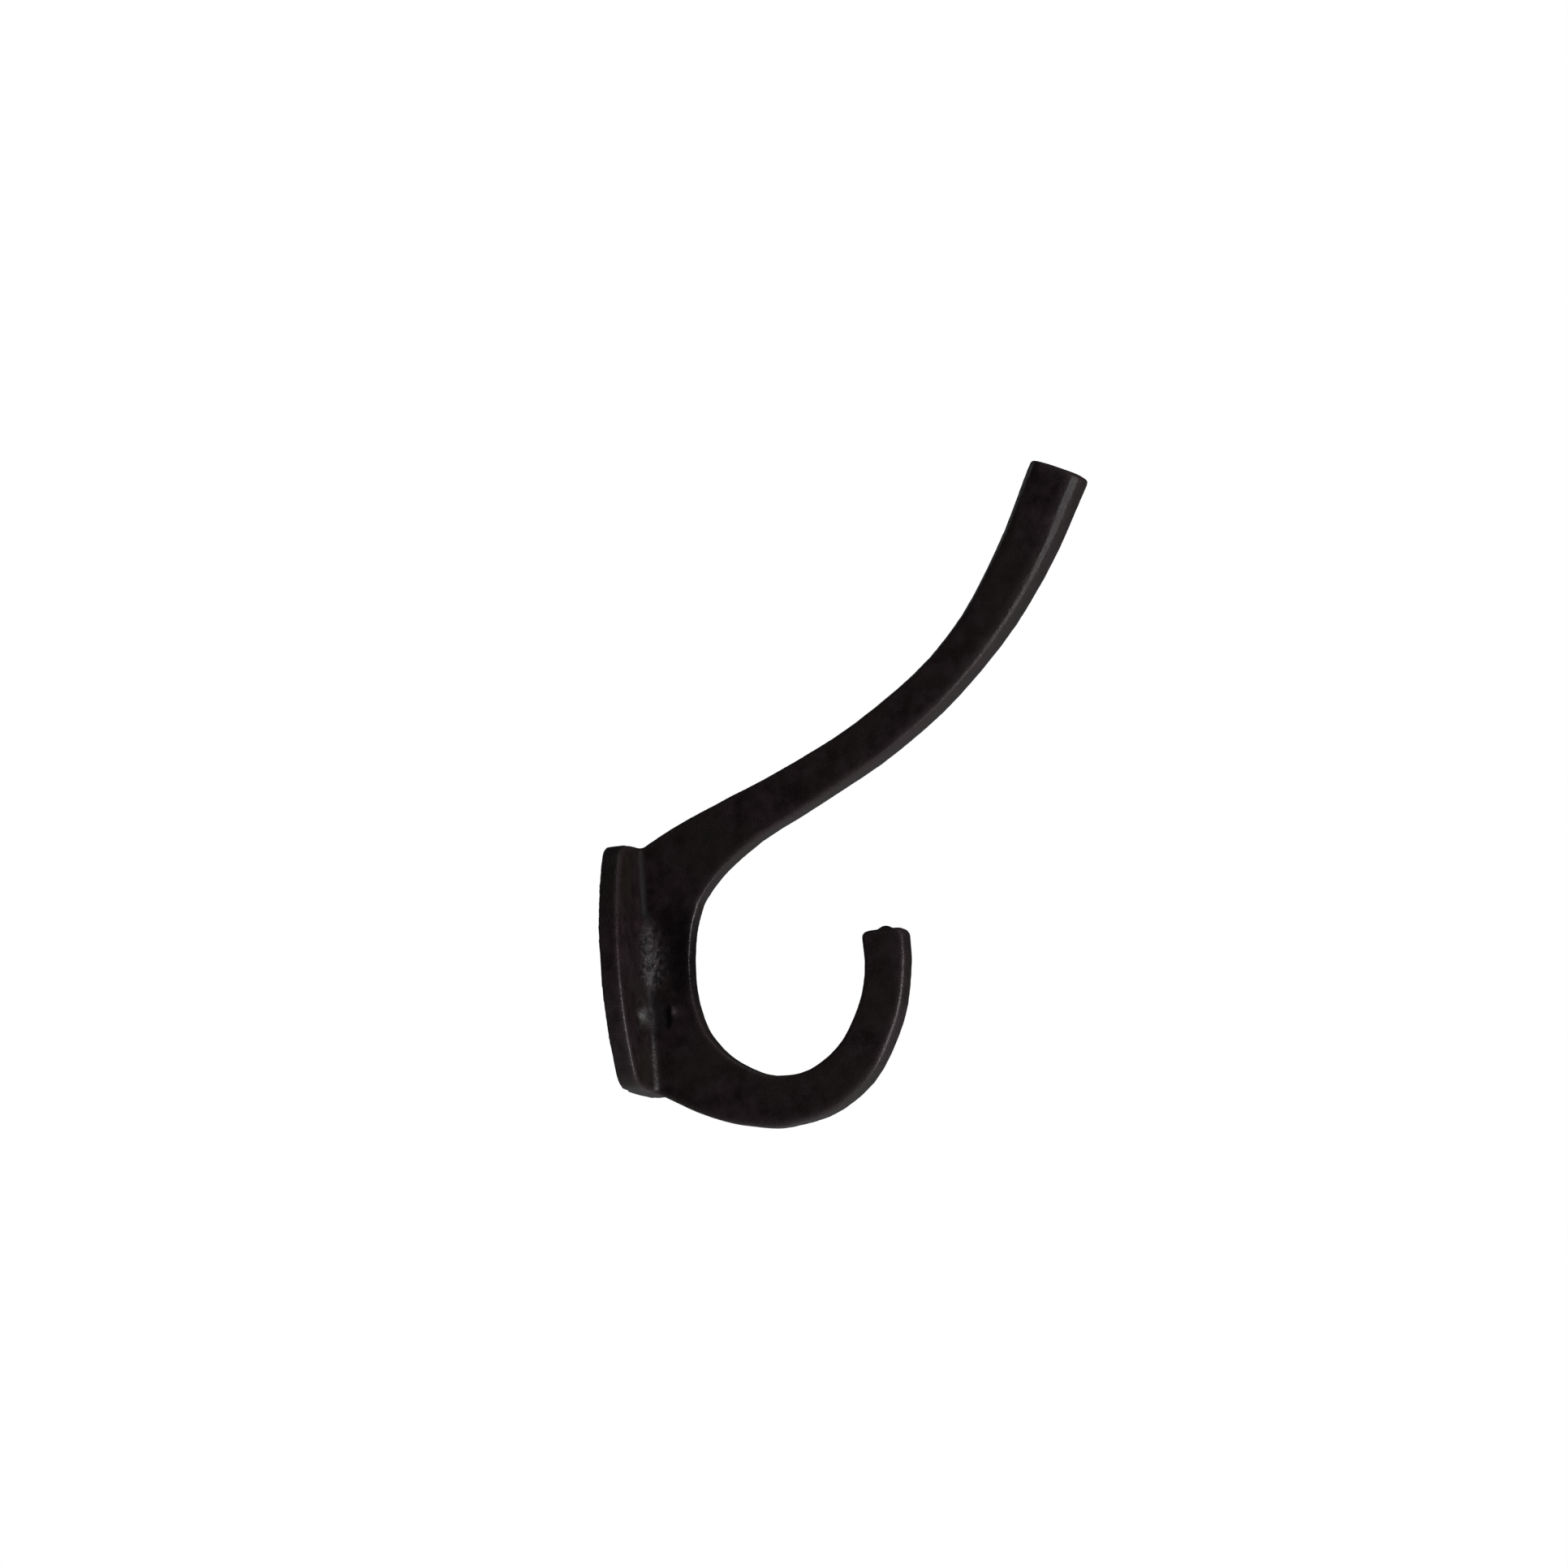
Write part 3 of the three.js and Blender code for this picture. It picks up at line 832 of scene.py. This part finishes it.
class HookSkin(bpy.types.PropertyGroup):
    """How the sand mould left the surface"""

    softening: bpy.props.IntProperty(
        name="Softening", description="Passes that ease the casting's corners", default=2, min=0
    )
    swell_size: bpy.props.FloatProperty(
        name="Swell size",
        description="Width of the slow swells of a hand-rammed mould",
        default=7 * MM,
        unit="LENGTH",
    )
    swell_depth: bpy.props.FloatProperty(
        name="Swell depth", description="Height of those swells", default=0.16 * MM, unit="LENGTH"
    )
    grain_size: bpy.props.FloatProperty(
        name="Grain size", description="Width of the grain printed by the sand", default=1.1 * MM, unit="LENGTH"
    )
    grain_depth: bpy.props.FloatProperty(
        name="Grain depth", description="Height of that grain", default=0.10 * MM, unit="LENGTH"
    )
    lump_size: bpy.props.FloatProperty(
        name="Patch lump size",
        description="Width of the lumps in the rough root fillet",
        default=0.85 * MM,
        unit="LENGTH",
    )
    lump_depth: bpy.props.FloatProperty(
        name="Patch lump depth", description="Height of those lumps", default=0.9 * MM, unit="LENGTH"
    )
    seed: bpy.props.FloatProperty(name="Seed", description="Picks another print of the sand", default=3.0)


class HookFinish(bpy.types.PropertyGroup):
    """Colours of the lacquer, of its painted shade and highlight, and of the floor"""

    lacquer_dark: bpy.props.StringProperty(
        name="Lacquer, thick", description="Hex colour where the lacquer lies thick", default="#0e0709"
    )
    lacquer_light: bpy.props.StringProperty(
        name="Lacquer, thin", description="Hex colour where the lacquer lies thin", default="#21171b"
    )
    lacquer_olive: bpy.props.StringProperty(
        name="Lacquer, olive", description="Hex colour where the lacquer drifts to olive", default="#16130f"
    )
    # The one colour of all painted shade: in the pits, in the rough patch's gaps, in the corners and recess and
    # beside the throat.
    painted_shade_colour: bpy.props.StringProperty(name="Pit", description="Hex colour in the pits", default="#070506")
    rubbed_arris: bpy.props.StringProperty(
        name="Rubbed arris", description="Hex colour of the rubbed edges", default="#2a2123"
    )
    # The flakes' colour is a painted highlight for light caught by the rough lumps.
    painted_flake_highlight: bpy.props.StringProperty(
        name="Bare flake", description="Hex colour of the flakes in the rough patch", default="#2c2528"
    )
    floor: bpy.props.StringProperty(name="Floor", description="Hex colour of the floor", default="#f2f2f2")


class HOOK_OT_make_casting(bpy.types.Operator):
    """Build the hook's casting over its CAD regions"""

    bl_idname = "hook.make_casting"
    bl_label = "Make the casting"

    def execute(self, context):
        scene = context.scene
        material = lacquered_iron(scene.hook_finish)
        plate_low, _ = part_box("back_plate")
        plate_front = -plate_low.y / MM
        parts = [make_bar(scene.hook_sizes, material), make_plate(plate_front)]
        parts += [make_lump(*lump) for lump in LUMPS]
        web_half = scene.hook_sizes.web_thickness / MM / 2
        for side, table in ROOT_FILLETS.items():
            parts.append(make_fillet(side, table, web_half, plate_front))
        casting = remeshed(joined("hook_casting", parts))
        for across, height in SCREW_HOLES:
            cutter = make_screw_clearance(across, height)
            modifier = casting.modifiers.new("screw", "BOOLEAN")
            modifier.object = cutter
            modifier.operation = "DIFFERENCE"
            modifier.solver = "EXACT"
            applied(casting)
            bpy.data.objects.remove(cutter)
        remeshed(casting)
        tree, names = skin_tree(material)
        modifier = casting.modifiers.new("skin", "NODES")
        modifier.node_group = tree
        skin = scene.hook_skin
        for name, value in {
            "Softening": skin.softening,
            "Swell size": skin.swell_size,
            "Swell depth": skin.swell_depth,
            "Grain size": skin.grain_size,
            "Grain depth": skin.grain_depth,
            "Patch lump size": skin.lump_size,
            "Patch lump depth": skin.lump_depth,
            "Seed": skin.seed,
        }.items():
            modifier[names[name]] = value
        applied(casting)
        casting.name = casting.data.name = "hook_casting"
        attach(casting, "root")
        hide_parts("back_plate", "web", "hat_prong", "coat_prong")
        return {"FINISHED"}


def make_floor(colour):
    built = bmesh.new()
    bmesh.ops.create_grid(built, x_segments=1, y_segments=1, size=FLOOR_HALF_WIDTH)
    mesh = bpy.data.meshes.new("floor")
    built.to_mesh(mesh)
    built.free()
    mesh.materials.append(lit_floor(colour))
    floor = mesh_object("floor", mesh)
    floor.location.z = CAD_BOX[0].z - FLOOR_DROP


def make_world():
    """A white backdrop to the camera that gives the hook only a little light."""
    world = bpy.data.worlds.new("studio")
    world.use_nodes = True
    tree = world.node_tree
    tree.nodes.clear()
    seen = add_node(tree, "ShaderNodeLightPath").outputs["Is Camera Ray"]
    strength = add_node(tree, "ShaderNodeMapRange", seen, 0.0, 1.0, WORLD_GLOW, 1.0)
    white = add_node(tree, "ShaderNodeBackground", (1.0, 1.0, 1.0, 1.0), strength)
    add_node(tree, "ShaderNodeOutputWorld", white)
    bpy.context.scene.world = world


def make_light(name, place, width, power):
    """A white disc of light turned to the hook."""
    data = bpy.data.lights.new(name, "AREA")
    data.shape = "DISK"
    data.size = width
    data.energy = power
    light = bpy.data.objects.new(name, data)
    bpy.context.scene.collection.objects.link(light)
    light.location = place
    light.rotation_euler = (Vector(CAMERA_TARGET) - Vector(place)).to_track_quat("-Z", "Y").to_euler()


def make_camera():
    azimuth, elevation, roll = (math.radians(a) for a in (CAMERA_AZIMUTH, CAMERA_ELEVATION, CAMERA_ROLL))
    level = math.cos(elevation)
    back = Vector((math.sin(azimuth) * level, -math.cos(azimuth) * level, math.sin(elevation)))
    right = Vector((math.cos(azimuth), math.sin(azimuth), 0))
    up = back.cross(right)
    rolled_right = math.cos(roll) * right - math.sin(roll) * up
    rolled_up = math.sin(roll) * right + math.cos(roll) * up
    data = bpy.data.cameras.new("camera")
    data.sensor_width = 36
    data.lens = data.sensor_width * CAMERA_DISTANCE / CAMERA_VIEW_WIDTH
    data.clip_start, data.clip_end = CAMERA_CLIP
    camera = bpy.data.objects.new("camera", data)
    bpy.context.scene.collection.objects.link(camera)
    turned = Matrix((rolled_right, rolled_up, back)).transposed()
    place = Vector(CAMERA_TARGET) + back * CAMERA_DISTANCE
    camera.matrix_world = Matrix.Translation(place) @ turned.to_4x4()
    return camera


class HOOK_OT_make_stage(bpy.types.Operator):
    """Set out the floor, the lights and the camera"""

    bl_idname = "hook.make_stage"
    bl_label = "Make the stage"

    def execute(self, context):
        scene = context.scene
        make_floor(scene.hook_finish.floor)
        make_world()
        for light in LIGHTS:
            make_light(*light)
        scene.camera = make_camera()
        scene.view_settings.view_transform = "Standard"
        return {"FINISHED"}


class HOOK_PT_panel(bpy.types.Panel):
    bl_idname = "HOOK_PT_panel"
    bl_label = "Hat and coat hook"
    bl_space_type = "VIEW_3D"
    bl_region_type = "UI"
    bl_category = "Hook"

    def draw(self, context):
        layout = self.layout
        for group in (context.scene.hook_sizes, context.scene.hook_skin, context.scene.hook_finish):
            box = layout.box()
            for name in group.__annotations__:
                box.prop(group, name)
        layout.operator(HOOK_OT_make_casting.bl_idname)
        layout.operator(HOOK_OT_make_stage.bl_idname)


CLASSES = (HookSizes, HookSkin, HookFinish, HOOK_OT_make_casting, HOOK_OT_make_stage, HOOK_PT_panel)


def register():
    for cls in CLASSES:
        bpy.utils.register_class(cls)
    bpy.types.Scene.hook_sizes = bpy.props.PointerProperty(type=HookSizes)
    bpy.types.Scene.hook_skin = bpy.props.PointerProperty(type=HookSkin)
    bpy.types.Scene.hook_finish = bpy.props.PointerProperty(type=HookFinish)


def unregister():
    for name in ("hook_sizes", "hook_skin", "hook_finish"):
        delattr(bpy.types.Scene, name)
    for cls in reversed(CLASSES):
        bpy.utils.unregister_class(cls)


def main():
    register()
    bpy.ops.hook.make_casting()
    bpy.ops.hook.make_stage()


if __name__ == "__main__":
    main()
